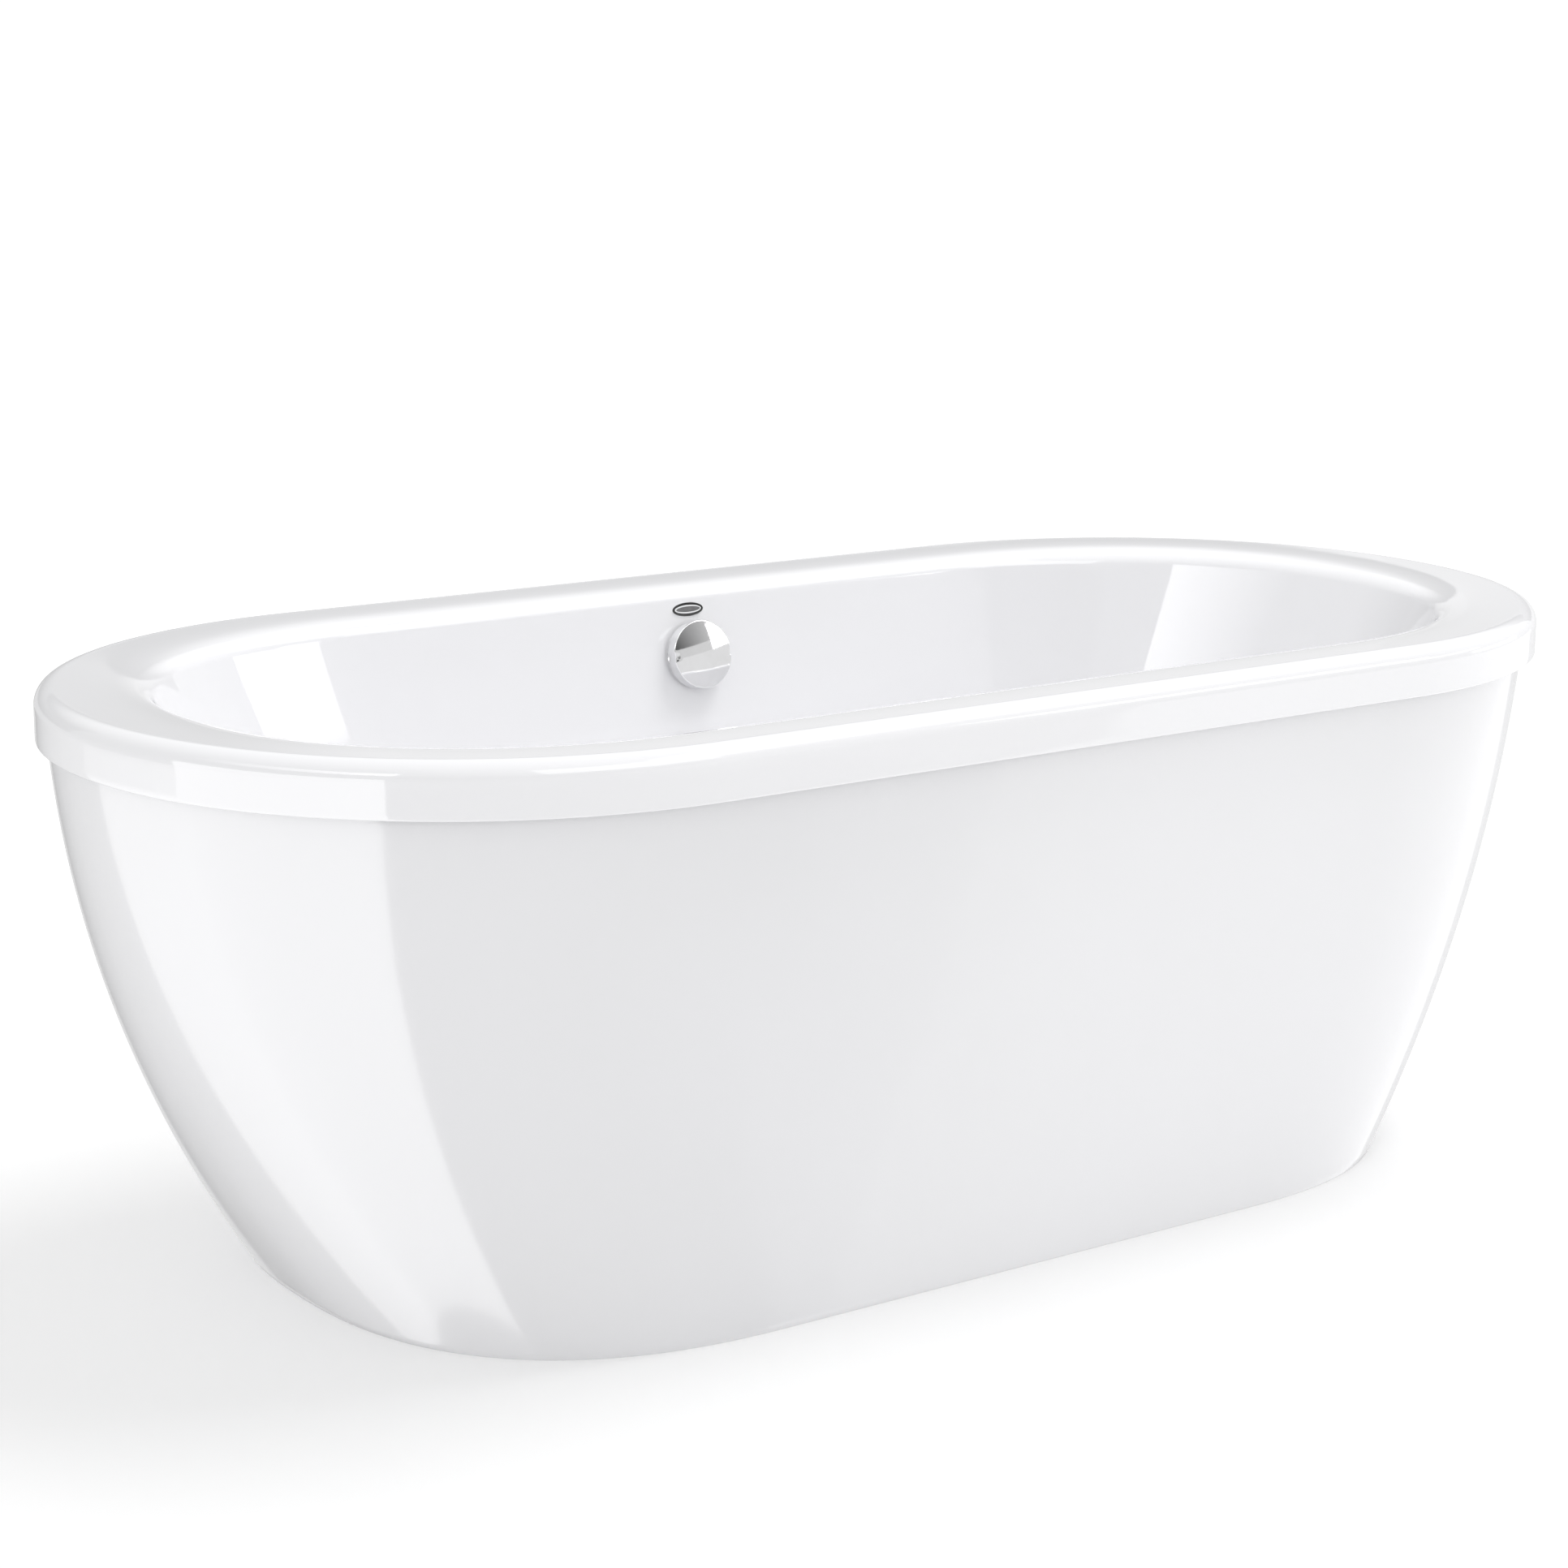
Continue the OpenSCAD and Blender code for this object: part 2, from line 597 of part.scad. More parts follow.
module plug_stem() {
    stem_base = pivot_z - plug_lift / 2 + 3.4;
    color(brass) on_drain() {
        translate([0, 0, stem_base]) cylinder(r = 2.5, h = 12, $fn = 32);
        translate([0, 0, stem_base + 12 - eps])
            cylinder(r = 4, h = floor_z + 1.6 - stem_base - 12);
        translate([0, 0, floor_z - 3.5]) cylinder(r = 9, h = 2.5);
    }
}
module lift_lever() {
    color(steel) on_drain() translate([0, pivot_y, pivot_z]) rotate([lever_rest, 0, 0])
        difference() {
            union() {
                translate([-5, 0, -2]) cube([10, arm_l, 4]);
                translate([-5, arm_l, 0]) rotate([0, 90, 0]) cylinder(r = 3, h = 10);
                translate([-5, 0, 0]) rotate([0, 90, 0]) cylinder(r = 5.5, h = 10);
            }
            translate([-6, 0, 0]) rotate([0, 90, 0]) cylinder(r = shaft_r, h = 12);
        }
}
module lever_shaft() {
    color(steel) on_drain() translate([-20.5, pivot_y, pivot_z]) rotate([0, 90, 0])
        cylinder(r = shaft_r, h = 20.5 + crank_x + 2);
}
module crank_arm() {
    color(steel) on_drain() translate([crank_x - 2, pivot_y, pivot_z])
        rotate([lever_rest, 0, 0]) rotate([0, 90, 0]) difference() {
            union() {
                cylinder(r = 6, h = 4);
                translate([0, -3.5, 0]) cube([arm_l, 7, 4]);
                translate([arm_l, 0, 0]) cylinder(r = 3.5, h = 4);
                translate([arm_l, 0, 0]) cylinder(r = 1.5, h = 9, $fn = 24);
            }
            translate([0, 0, -1]) cylinder(r = shaft_r, h = 6);
        }
}
module wire_rod() {
    // A slotted eye round the crank's pin, on a rod that slides in the guide
    color(steel) on_drain() translate([crank_x, pin_y, pin_z]) {
        difference() {
            translate([2.5, -4, -4]) cube([4, 9, 8]);
            translate([2, -1.8, -2.6]) cube([5, 3.6, 5.2]);
        }
        translate([0, 5, 0]) rotate([-90, 0, 0]) cylinder(r = 1.5, h = 36, $fn = 32);
        translate([-1.5, 5, -1.5]) cube([8, 3, 3]);
    }
}
module cable_guide() {
    color(brass) on_drain(pin_z) translate([crank_x, 8, 0]) rotate([-90, 0, 0])
        tube(4, 1.5 + run_gap, guide_end - 8, $fn = 32);
}
module tailpiece() {
    color(chrome) on_drain() difference() {
        union() {
            translate([0, 0, neck_z - 4]) cylinder(r = 23.5, h = 2);
            translate([0, 0, neck_z - 9]) cylinder(r = tail_r - 0.6, h = 6);
            translate([0, 0, 4]) cylinder(r = tail_r, h = neck_z - 9 - 4 + eps);
        }
        translate([0, 0, 3]) cylinder(r = tail_r - 1.2, h = neck_z);
    }
}
module tail_washer() {
    color(rubber) on_drain(neck_z - 2) tube(23.5, tail_r - 1, 2);
}
module slip_nut() {
    color(plastic) on_drain() difference() {
        union() {
            translate([0, 0, neck_z - 8]) cylinder(r = 28, h = 22);
            for (a = [15 : 30 : 345]) rotate([0, 0, a]) translate([27, 0, neck_z - 7])
                cylinder(r = 2.5, h = 20, $fn = 24);
        }
        translate([0, 0, neck_z - 4]) cylinder(r = 24 + run_gap, h = 30);
        translate([0, 0, neck_z - 9]) cylinder(r = tail_r + 0.2, h = 10);
    }
}

// ---- Overflow ----
module overflow_body() {
    boss_top = body_back + 14;
    bore = spindle_r + run_gap;
    color(plastic) on_wall() difference() {
        union() {
            // Cup with its sealing flange and the rear bearing of the spindle
            rotate_extrude() polygon([
                [bore, body_back], [body_r, body_back], [body_r, seal_back - 4],
                [37, seal_back - 4], [37, seal_back], [30, seal_back],
                [30, body_back + 4], [9, body_back + 4], [9, boss_top], [bore, boss_top]]);
            for (x = [-19, 19]) translate([x, 0, body_back + 2])
                cylinder(r = 4.5, h = 30, $fn = 32);
            translate([0, -31, spigot_z]) rotate([90, 0, 0]) cylinder(r = spigot_r, h = 35);
            // Arm behind the body that holds the end of the cable
            translate([cam_r - 7, -40, cam_z - 6]) cube([14, 12, body_back - cam_z + 7]);
        }
        translate([0, -25, spigot_z]) rotate([90, 0, 0]) cylinder(r = 14, h = 60);
        for (x = [-19, 19]) translate([x, 0, body_back + 8])
            cylinder(r = screw_r, h = 60, $fn = 32);
        translate([cam_r, -20, cam_z]) rotate([90, 0, 0]) cylinder(r = 1.5, h = 40, $fn = 24);
    }
}
module overflow_seal() {
    color(rubber) on_wall() translate([0, 0, seal_back]) tube(36, 25, 3);
}
module overflow_plate() {
    color(chrome) on_wall() difference() {
        union() {
            rotate_extrude($fn = 96) polygon([[0, 0], [34, 0], [34, 1.4], [33, 2.4],
                                              [12, 3], [0, 3]]);
            translate([0, 0, -7]) cylinder(r = 9, h = 8);
        }
        translate([0, 0, -8]) cylinder(r = spindle_r + run_gap, h = 20);
        for (a = [30 : 30 : 330]) if (a % 180 != 0) rotate([0, 0, a])
            translate([18.5, 0, -1]) cylinder(r = 3.6, h = 6, $fn = 32);
        for (x = [-19, 19]) translate([x, 0, -1]) {
            cylinder(r = screw_r, h = 6, $fn = 32);
            translate([0, 0, 1.5]) cylinder(r1 = screw_r, r2 = 5, h = 2.6, $fn = 32);
        }
    }
}
module overflow_screws() {
    color(steel) on_wall() for (x = [-19, 19]) translate([x, 0, 0]) difference() {
        union() {
            translate([0, 0, -36]) cylinder(r = screw_r, h = 38, $fn = 32);
            translate([0, 0, 1.55]) cylinder(r1 = screw_r, r2 = 4.2, h = 1.8, $fn = 32);
        }
        translate([0, 0, 2.1]) cylinder(r = 1.3, h = 3, $fn = 6);
    }
}
module knob_spindle() {
    color(steel) on_wall() translate([0, 0, cam_z - 6])
        cylinder(r = spindle_r, h = knob_front - 7.5 - (cam_z - 6));
}
module overflow_knob() {
    // A hollow cap with a gently domed face and two shallow finger grips at its sides,
    // turned so that its seam lies clear of the grips
    color(chrome) on_wall() difference() {
        rotate([0, 0, 40]) rotate_extrude($fn = 128) polygon([
            [spindle_r, knob_back - 0.5], [9, knob_back - 0.5], [9, knob_front - 4],
            [34.5, knob_front - 4], [34.5, knob_back], [knob_r - 1, knob_back],
            [knob_r, knob_back + 1], [knob_r, knob_front - 3.4],
            [knob_r - 0.5, knob_front - 2.6], [knob_r - 1.6, knob_front - 2.1],
            [26, knob_front - 1.05], [13, knob_front - 0.25], [0, knob_front],
            [0, knob_front - 7], [spindle_r, knob_front - 7]]);
        for (side = [-1, 1]) translate([side * (knob_r + 13.6), -1, knob_back - 1])
            cylinder(r = 15, h = 30);
        translate([0, 0, knob_back + 3]) rotate([90, 0, 0]) cylinder(r = 2, h = 50, $fn = 24);
    }
}
module knob_set_screw() {
    color(steel) on_wall() translate([0, -spindle_r, knob_back + 3]) rotate([90, 0, 0])
        cylinder(r = 2, h = 4, $fn = 24);
}
module cable_cam() {
    color(plastic) on_wall() translate([0, 0, cam_z - 4]) difference() {
        union() {
            cylinder(r = cam_r - 1.2, h = 8);
            cylinder(r = cam_r + 3.5, h = 1.6);
            translate([0, 0, 5.6]) cylinder(r = cam_r + 3.5, h = 1.6);
            translate([cam_r, 3, 0]) cylinder(r = 2.2, h = 7, $fn = 24);
        }
        translate([0, 0, -1]) cylinder(r = spindle_r, h = 12);
    }
}

// ---- Cable and hose ----
module cable_sheath() {
    color(rubber) sweep_tube(smooth_path(sheath_route, 5), sheath_r, sheath_in, 8);
}
module cable_wire() {
    color(steel) sweep_solid(smooth_path(wire_route, 5), wire_r, 8);
}
module cable_ferrules() {
    color(brass) {
        translate(guide_mouth) rotate([-90, 0, 0]) tube(4, sheath_r + 0.1, 10, $fn = 32);
        on_wall() translate(cam_exit) rotate([90, 0, 0])
            tube(4, sheath_r + 0.1, 10, $fn = 32);
    }
}
module overflow_hose() {
    color([0.75, 0.76, 0.78])
        sweep_tube(smooth_path(hose_route, 3), hose_r - 0.2, spigot_r + 0.5, 16);
}
module hose_nuts() {
    color(plastic) {
        on_wall() translate([0, -46, spigot_z]) rotate([90, 0, 0]) tube(22.5, hose_r, 14);
        on_drain(inlet_z) translate([0, 40, 0]) rotate([-90, 0, 0]) tube(21.9, hose_r, 14);
    }
}

basin();
skirt();
rim_bead();
base_board();
rail_front();
rail_back();
cross_left();
cross_middle();
cross_right();
frame_bolts();
frame_nuts();
board_screws();
skirt_brackets();
bracket_screws();
rivet_nuts();
lock_nuts();
for (i = [0 : len(feet) - 1]) {
    foot_stem(i);
    foot_pad(i);
}
drain_flange();
flange_seal();
shoe_seal();
drain_shoe();
drain_plug();
plug_seal();
plug_stem();
lift_lever();
lever_shaft();
crank_arm();
wire_rod();
cable_guide();
tailpiece();
tail_washer();
slip_nut();
overflow_body();
overflow_seal();
overflow_plate();
overflow_screws();
knob_spindle();
overflow_knob();
knob_set_screw();
cable_cam();
cable_sheath();
cable_wire();
cable_ferrules();
overflow_hose();
hose_nuts();
oval_badge();
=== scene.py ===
import json
import math

import bmesh
import bpy
from mathutils import Matrix, Vector


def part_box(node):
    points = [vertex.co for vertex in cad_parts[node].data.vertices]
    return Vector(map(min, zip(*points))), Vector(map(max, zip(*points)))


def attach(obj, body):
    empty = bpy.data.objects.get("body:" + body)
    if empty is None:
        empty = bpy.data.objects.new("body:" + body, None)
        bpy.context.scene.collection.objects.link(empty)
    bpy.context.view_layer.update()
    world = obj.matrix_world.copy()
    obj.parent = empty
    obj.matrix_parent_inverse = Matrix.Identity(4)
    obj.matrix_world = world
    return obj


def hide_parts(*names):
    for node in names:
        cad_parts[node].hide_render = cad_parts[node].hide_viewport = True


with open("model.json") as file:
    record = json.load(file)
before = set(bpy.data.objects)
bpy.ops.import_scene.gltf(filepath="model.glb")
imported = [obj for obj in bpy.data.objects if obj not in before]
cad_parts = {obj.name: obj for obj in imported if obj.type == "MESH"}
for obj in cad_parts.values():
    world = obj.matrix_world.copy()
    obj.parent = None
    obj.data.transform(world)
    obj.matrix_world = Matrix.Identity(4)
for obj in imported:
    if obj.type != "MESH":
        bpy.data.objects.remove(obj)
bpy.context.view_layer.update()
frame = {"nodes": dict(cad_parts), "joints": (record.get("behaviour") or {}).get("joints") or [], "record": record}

# A white double-ended bath on a plain pale floor, in soft studio light.
# Shapes are worked out in millimetres, as in the CAD source, and scaled to metres.
MM = 0.001
NODES = frame["nodes"]
SLOT_OF = {s["node"]: s["material_slot"] for s in frame["record"]["subparts"]}
JOINT = {j["name"]: j for j in frame["joints"]}
scene = bpy.context.scene


def mix(a, b, f):
    return a + (b - a) * f


# ---------------------------------------------------------------- camera
# Fitted to the photo's outline: millimetres of lens and sensor, metres, and degrees
LENS, SENSOR = 79.36, 36
AIM = Vector((-0.0228, 0.0607, 0.4134))
CAM_AZ, CAM_EL, CAM_DIST, CAM_ROLL = -35.833, 12.646, 3.5917, 0.457


def make_camera():
    a, e, roll = (math.radians(v) for v in (CAM_AZ, CAM_EL, CAM_ROLL))
    back = Vector((math.sin(a) * math.cos(e), -math.cos(a) * math.cos(e), math.sin(e)))
    right = Vector((math.cos(a), math.sin(a), 0))
    up = back.cross(right)
    tilted = right * math.cos(roll) + up * math.sin(roll)
    axes = Matrix((tilted, back.cross(tilted), back)).transposed()
    cam = bpy.data.objects.new("camera", bpy.data.cameras.new("camera"))
    cam.data.lens, cam.data.sensor_width = LENS, SENSOR
    cam.data.clip_start, cam.data.clip_end = 0.05, 300
    cam.matrix_world = Matrix.Translation(AIM + back * CAM_DIST) @ axes.to_4x4()
    scene.collection.objects.link(cam)
    scene.camera = cam


make_camera()

# ---------------------------------------------------------------- the bath's outlines
# A section is (half length, half width, length of its rounded end, exponent of the end)
BASIN_LO, BASIN_HI = (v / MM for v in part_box("basin"))
RIM_A, RIM_B, BATH_H = BASIN_HI.x, BASIN_HI.y, BASIN_HI.z
LIP_H = 50.4
LIP_Z = BATH_H - LIP_H
RIM_R = 18
RIM = (RIM_A, RIM_B, 420, 2.04)
LIP_EDGE_R, LIP_EDGE_N = 2.0, 5         # the lip's rounded lower edge, and its sections
DECK_FALL, DECK_TILT, ROLL_DROP = 5, math.radians(4), 13.5
# The part of the deck's fall that is straight, the power of the rest, where the roll starts
DECK_STRAIGHT, DECK_POWER, ROLL_FROM = 0.52, 4.2, math.radians(12)
DECK_Z = BATH_H - DECK_FALL
ROLL_Z = DECK_Z - ROLL_DROP
WALL_T = 6
FLOOR_Z = BASIN_LO.z + WALL_T
WELL_TOP, WELL_FLOOR = (746, 327, 350, 2.14), (230, 2.5)     # the floor's end only
END_LEAN, SIDE_LEAN = math.radians(28), math.radians(13.5)
END_FILLET, SIDE_FILLET = 90, 50
FOOT = (630, 327.5, 345, 2.46)
# How far the skirt swells at its ends and sides, and how far inside the lip it meets it
BELLY_A, BELLY_B, TUCK_A, TUCK_B = 0.78, 0.2, 9.5, 18
SKIRT_T, SKIRT_EDGE_R, FLANGE_W = 5, 1.5, 35
# Its neck: how far in from the rim, from how far over the lip's edge to how far under the top
NECK_IN, NECK_FROM, NECK_TO = 24, 14, 12
CAP_STEPS, RUN_STEPS = 132, 44          # points round each end, and along each side


def arc(k, n):
    """The angle after k of n equal steps through a quarter turn."""
    return math.radians(90 * k / n)


def ring(section):
    """Points round a section: (half length, half width, end length, exponent, height)."""
    a, b, c, n, z = section
    points = []
    for side in (1, -1):
        for j in range(CAP_STEPS + 1):
            t = math.pi * (j / CAP_STEPS - 0.5)
            u, v = math.cos(t) ** (2 / n) if j % CAP_STEPS else 0, abs(math.sin(t)) ** (2 / n)
            points.append((side * (a - c + c * u), side * math.copysign(b * v, t), z))
        for k in range(1, RUN_STEPS):
            points.append((side * (a - c) * (1 - 2 * k / RUN_STEPS), side * b, z))
    return points


def inset(section, d, z):
    """The section moved in by d on all sides, at height z."""
    return (section[0] - d, section[1] - d, section[2] - d, section[3], z)


def between(p, q, f):
    return tuple(mix(a, b, f) for a, b in zip(p, q))


def well_inset(z, lean, fillet):
    """How far in the wall is at height z: down the roll, the leaning wall and the fillet."""
    r = ROLL_DROP / (math.cos(DECK_TILT) - math.sin(lean))
    at_roll = r * (math.cos(lean) - math.sin(DECK_TILT))
    fillet_z = FLOOR_Z + fillet * (1 - math.sin(lean))
    if z >= ROLL_Z:
        c = math.cos(DECK_TILT) - (DECK_Z - z) / r
        return r * (math.sqrt(max(0, 1 - c * c)) - math.sin(DECK_TILT))
    if z >= fillet_z:
        return at_roll + (ROLL_Z - z) * math.tan(lean)
    at_fillet = at_roll + (ROLL_Z - fillet_z) * math.tan(lean)
    down = FLOOR_Z + fillet - z
    return at_fillet + fillet * math.cos(lean) - math.sqrt(max(0, fillet**2 - down**2))


def well_section(z):
    """The inside of the well at height z."""
    f = (DECK_Z - z) / (DECK_Z - FLOOR_Z)
    return (WELL_TOP[0] - well_inset(z, END_LEAN, END_FILLET),
            WELL_TOP[1] - well_inset(z, SIDE_LEAN, SIDE_FILLET),
            mix(WELL_TOP[2], WELL_FLOOR[0], f), mix(WELL_TOP[3], WELL_FLOOR[1], f), z)


def skirt_section(z):
    """The outside of the skirt at height z, swelling between the foot and the lip."""
    s = z / LIP_Z
    fa, fb = s + BELLY_A * s * (1 - s), s + BELLY_B * s * (1 - s)
    return (mix(FOOT[0], RIM_A - TUCK_A, fa), mix(FOOT[1], RIM_B - TUCK_B, fb),
            mix(FOOT[2], RIM[2] - TUCK_A, fa), mix(FOOT[3], RIM[3], fa), z)


# ---------------------------------------------------------------- meshes
def piece(name, points, faces, body, stands_for, sharp=40):
    """A visual mesh that rides on a body and stands for CAD nodes; points are millimetres."""
    mesh = bpy.data.meshes.new(name)
    mesh.from_pydata([Vector(p) * MM for p in points], [], faces)
    mesh.validate()
    obj = bpy.data.objects.new(name, mesh)
    scene.collection.objects.link(obj)
    finish_mesh(obj, sharp)
    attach(obj, body)
    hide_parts(*stands_for)
    return obj


def finish_mesh(obj, sharp):
    """Weld the seams, face the faces out, and shade smooth up to an angle in degrees."""
    bm = bmesh.new()
    bm.from_mesh(obj.data)
    bmesh.ops.remove_doubles(bm, verts=bm.verts, dist=1e-6)
    bmesh.ops.recalc_face_normals(bm, faces=bm.faces)
    bm.to_mesh(obj.data)
    bm.free()
    obj.data.shade_smooth()
    obj.data.set_sharp_from_angle(angle=math.radians(sharp))


def loft_faces(rings, closed=True):
    """Quads between neighbouring closed rings, and back to the first if closed."""
    n, m = len(rings[0]), len(rings)
    return [(i * n + j, i * n + (j + 1) % n,
             ((i + 1) % m) * n + (j + 1) % n, ((i + 1) % m) * n + j)
            for i in range(m if closed else m - 1) for j in range(n)]


def cut(obj, cutter):
    """Cut a temporary solid out of obj."""
    m = obj.modifiers.new("cut", "BOOLEAN")
    m.operation, m.solver, m.object = "DIFFERENCE", "EXACT", cutter
    done = obj.evaluated_get(bpy.context.evaluated_depsgraph_get())
    old, obj.data = obj.data, bpy.data.meshes.new_from_object(done)
    obj.modifiers.clear()
    bpy.data.meshes.remove(old)
    bpy.data.objects.remove(cutter)


def drill(obj, place, radius, start, end, sharp):
    """Cut a round hole; place(x, y, z) puts a point of it, with z along its length."""
    turns = 64
    tube = [[place(radius * math.cos(2 * math.pi * k / turns),
                   radius * math.sin(2 * math.pi * k / turns), z)
             for k in range(turns)] for z in (start, end)]
    mesh = bpy.data.meshes.new("cutter")
    mesh.from_pydata([p * MM for rg in tube for p in rg], [],
                     loft_faces(tube, closed=False)
                     + [tuple(reversed(range(turns))), tuple(range(turns, 2 * turns))])
    cutter = bpy.data.objects.new("cutter", mesh)
    scene.collection.objects.link(cutter)
    cut(obj, cutter)
    finish_mesh(obj, sharp)


# The wall's own frame at the overflow: x along the bath, y up the wall, z out of it
OUT = Vector(JOINT["knob_turn"]["axis"])
ALONG = Vector((1, 0, 0))
UP_WALL = OUT.cross(ALONG)
KNOB_AT = Vector(JOINT["knob_turn"]["pos_m"]) / MM
# The drain is this far behind the lever's pivot
LEVER_TO_DRAIN = 22
DRAIN = Vector(JOINT["lever_lift"]["pos_m"]) / MM + Vector((0, LEVER_TO_DRAIN, 0))
OVERFLOW_HOLE_R, OVERFLOW_CUT, WASTE_HOLE_R = 26, 30, 24.5


def on_wall(origin, p):
    """The point p of the wall's frame, set at origin."""
    return origin + ALONG * p[0] + UP_WALL * p[1] + OUT * p[2]


def basin_face():
    """Sections along the moulding's face: lip, deck, rolled edge, walls and fillet."""
    face = []
    for k in range(LIP_EDGE_N):
        q = arc(k, LIP_EDGE_N - 1)
        face.append(inset(RIM, LIP_EDGE_R * (1 - math.sin(q)),
                          LIP_Z + LIP_EDGE_R * (1 - math.cos(q))))
    top_z = BATH_H - RIM_R
    face += [inset(RIM, 0, mix(LIP_Z + LIP_EDGE_R, top_z, k / 6)) for k in range(1, 6)]
    face += [inset(RIM, RIM_R * (1 - math.cos(arc(k, 14))),
                   top_z + RIM_R * math.sin(arc(k, 14))) for k in range(15)]
    r = ROLL_DROP / (math.cos(DECK_TILT) - math.sin(SIDE_LEAN))

    def on_roll(q):
        return well_section(max(ROLL_Z, DECK_Z - r * (math.cos(DECK_TILT) - math.cos(q))))
    # The deck falls gently from the rim and bends ever more towards the roll
    a, b = face[-1], on_roll(ROLL_FROM)
    for k in range(1, 20):
        f = k / 20
        p = between(a, b, f)
        fall = DECK_STRAIGHT * f + (1 - DECK_STRAIGHT) * f**DECK_POWER
        face.append((*p[:4], mix(a[4], b[4], fall)))
    face += [on_roll(mix(ROLL_FROM, math.pi / 2 - SIDE_LEAN, k / 16)) for k in range(17)]
    low = FLOOR_Z + SIDE_FILLET
    face += [well_section(mix(ROLL_Z, low, k / 24)) for k in range(1, 25)]
    face += [well_section(low - SIDE_FILLET * math.sin(arc(k, 30))) for k in range(1, 31)]
    return face


def basin_back(face):
    """The face moved in by the wall's thickness; the lip's lower edge stays flat."""
    back = []
    for i, s in enumerate(face):
        p, q = face[max(i - 1, 0)], face[min(i + 1, len(face) - 1)]
        d = Vector(((q[0] + q[1] - p[0] - p[1]) / 2, q[4] - p[4])).normalized()
        if s is face[-1]:
            d = Vector((-1, 0))
        if i < LIP_EDGE_N:
            d = Vector((0, 1))
        back.append(inset(s, WALL_T * d.y, s[4] + WALL_T * d.x))
    return [inset(RIM, WALL_T, LIP_Z)] + back[LIP_EDGE_N::4] + [back[-1]]


def to_waste_hole(outer, steps):
    """Rings over the floor, from an outline in to the waste hole."""
    rings = []
    for k in range(1, steps + 1):
        line = []
        for p in outer:
            d = Vector((p[0] - DRAIN.x, p[1] - DRAIN.y))
            edge = Vector((DRAIN.x, DRAIN.y)) + d.normalized() * WASTE_HOLE_R
            line.append((*mix(Vector(p[:2]), edge, k / steps), p[2]))
        rings.append(line)
    return rings


def basin():
    """The moulding, closed round its face, waste hole and back, with its overflow hole."""
    face = basin_face()
    back = basin_back(face)
    rings = [ring(s) for s in face]
    rings += to_waste_hole(rings[-1], 12)
    under = ring(back[-1])
    rings += list(reversed([under] + to_waste_hole(under, 4)))
    rings += [ring(s) for s in reversed(back[:-1])]
    points = [p for rg in rings for p in rg]
    obj = piece("basin_shell", points, loft_faces(rings), "bath", ["basin"])
    drill(obj, lambda x, y, z: on_wall(KNOB_AT, (x, y, z)),
          OVERFLOW_HOLE_R, -OVERFLOW_CUT, OVERFLOW_CUT, 40)
    return obj


def skirt():
    """The tapered shell: its outside, the neck under the deck, the foot flange."""
    foot = skirt_section(0)
    outer = [inset(foot, SKIRT_EDGE_R * (1 - math.sin(arc(k, 4))),
                   SKIRT_EDGE_R * (1 - math.cos(arc(k, 4)))) for k in range(4)]
    outer += [skirt_section(mix(SKIRT_EDGE_R, LIP_Z, k / 72)) for k in range(73)]
    outer += [inset(RIM, NECK_IN, LIP_Z + NECK_FROM), inset(RIM, NECK_IN, BATH_H - NECK_TO)]
    inner = [inset(s, SKIRT_T, max(s[4], SKIRT_T)) for s in reversed(outer[4::6] + outer[-2:])]
    flange = [inset(foot, FLANGE_W + SKIRT_T, z) for z in (SKIRT_T, 0)]
    rings = [ring(s) for s in outer + inner + flange]
    return piece("skirt_shell", [p for rg in rings for p in rg], loft_faces(rings),
                 "bath", ["skirt"])


# The knob's radii: outside, cavity, boss, spindle and set screw
KNOB_R, CAVITY_R, BOSS_R, SPINDLE_R, SCREW_R = 37, 34.5, 9, 5, 2
# Heights of its face and edge above the wall; the face's dome, thickness and rounding
KNOB_FRONT, KNOB_BACK, KNOB_DOME, KNOB_T, KNOB_EDGE_R = 22, 5, 2.1, 4, 0.8
KNOB_UNDER = KNOB_FRONT - KNOB_T
# Each grip is part of a cylinder beside the knob; its depth fades out over the face
GRIP_R, GRIP_GAP, GRIP_FROM, GRIP_FADE = 15, 13.6, 27, 9
KNOB_TURNS = 288                        # points round the knob


def knob_profile():
    """(radius, height) from the boss through the cavity, round the edge and over the face."""
    boss_z = KNOB_BACK - 0.5
    profile = [(SPINDLE_R, boss_z), (BOSS_R, boss_z), (BOSS_R, KNOB_UNDER),
               (CAVITY_R, KNOB_UNDER), (CAVITY_R, KNOB_BACK), (KNOB_R - 1, KNOB_BACK),
               (KNOB_R - 0.3, KNOB_BACK + 0.3), (KNOB_R, KNOB_BACK + 1)]
    side_top = KNOB_FRONT - KNOB_DOME - KNOB_EDGE_R
    profile += [(KNOB_R, mix(KNOB_BACK + 1, side_top, k / 5)) for k in range(1, 6)]
    for k in range(1, 9):
        q = arc(k, 8)
        profile.append((KNOB_R - KNOB_EDGE_R * (1 - math.cos(q)),
                        side_top + KNOB_EDGE_R * math.sin(q)))
    face_r = KNOB_R - KNOB_EDGE_R
    for k in range(1, 24):
        r = face_r * (1 - k / 24)
        profile.append((r, KNOB_FRONT - KNOB_DOME * (r / face_r) ** 2))
    return profile


def grip_depth(angle, r, z):
    """How deep the grips cut in from this place; the cavity is left round."""
    c = KNOB_R + GRIP_GAP
    s = c * math.sin(angle)
    if abs(s) >= GRIP_R or (r <= CAVITY_R and z <= KNOB_UNDER):
        return 0
    reach = c * abs(math.cos(angle)) - math.sqrt(GRIP_R * GRIP_R - s * s)
    share = min(1, max(0, (r - GRIP_FROM) / GRIP_FADE))
    return max(0, KNOB_R - reach) * share * share * (3 - 2 * share)


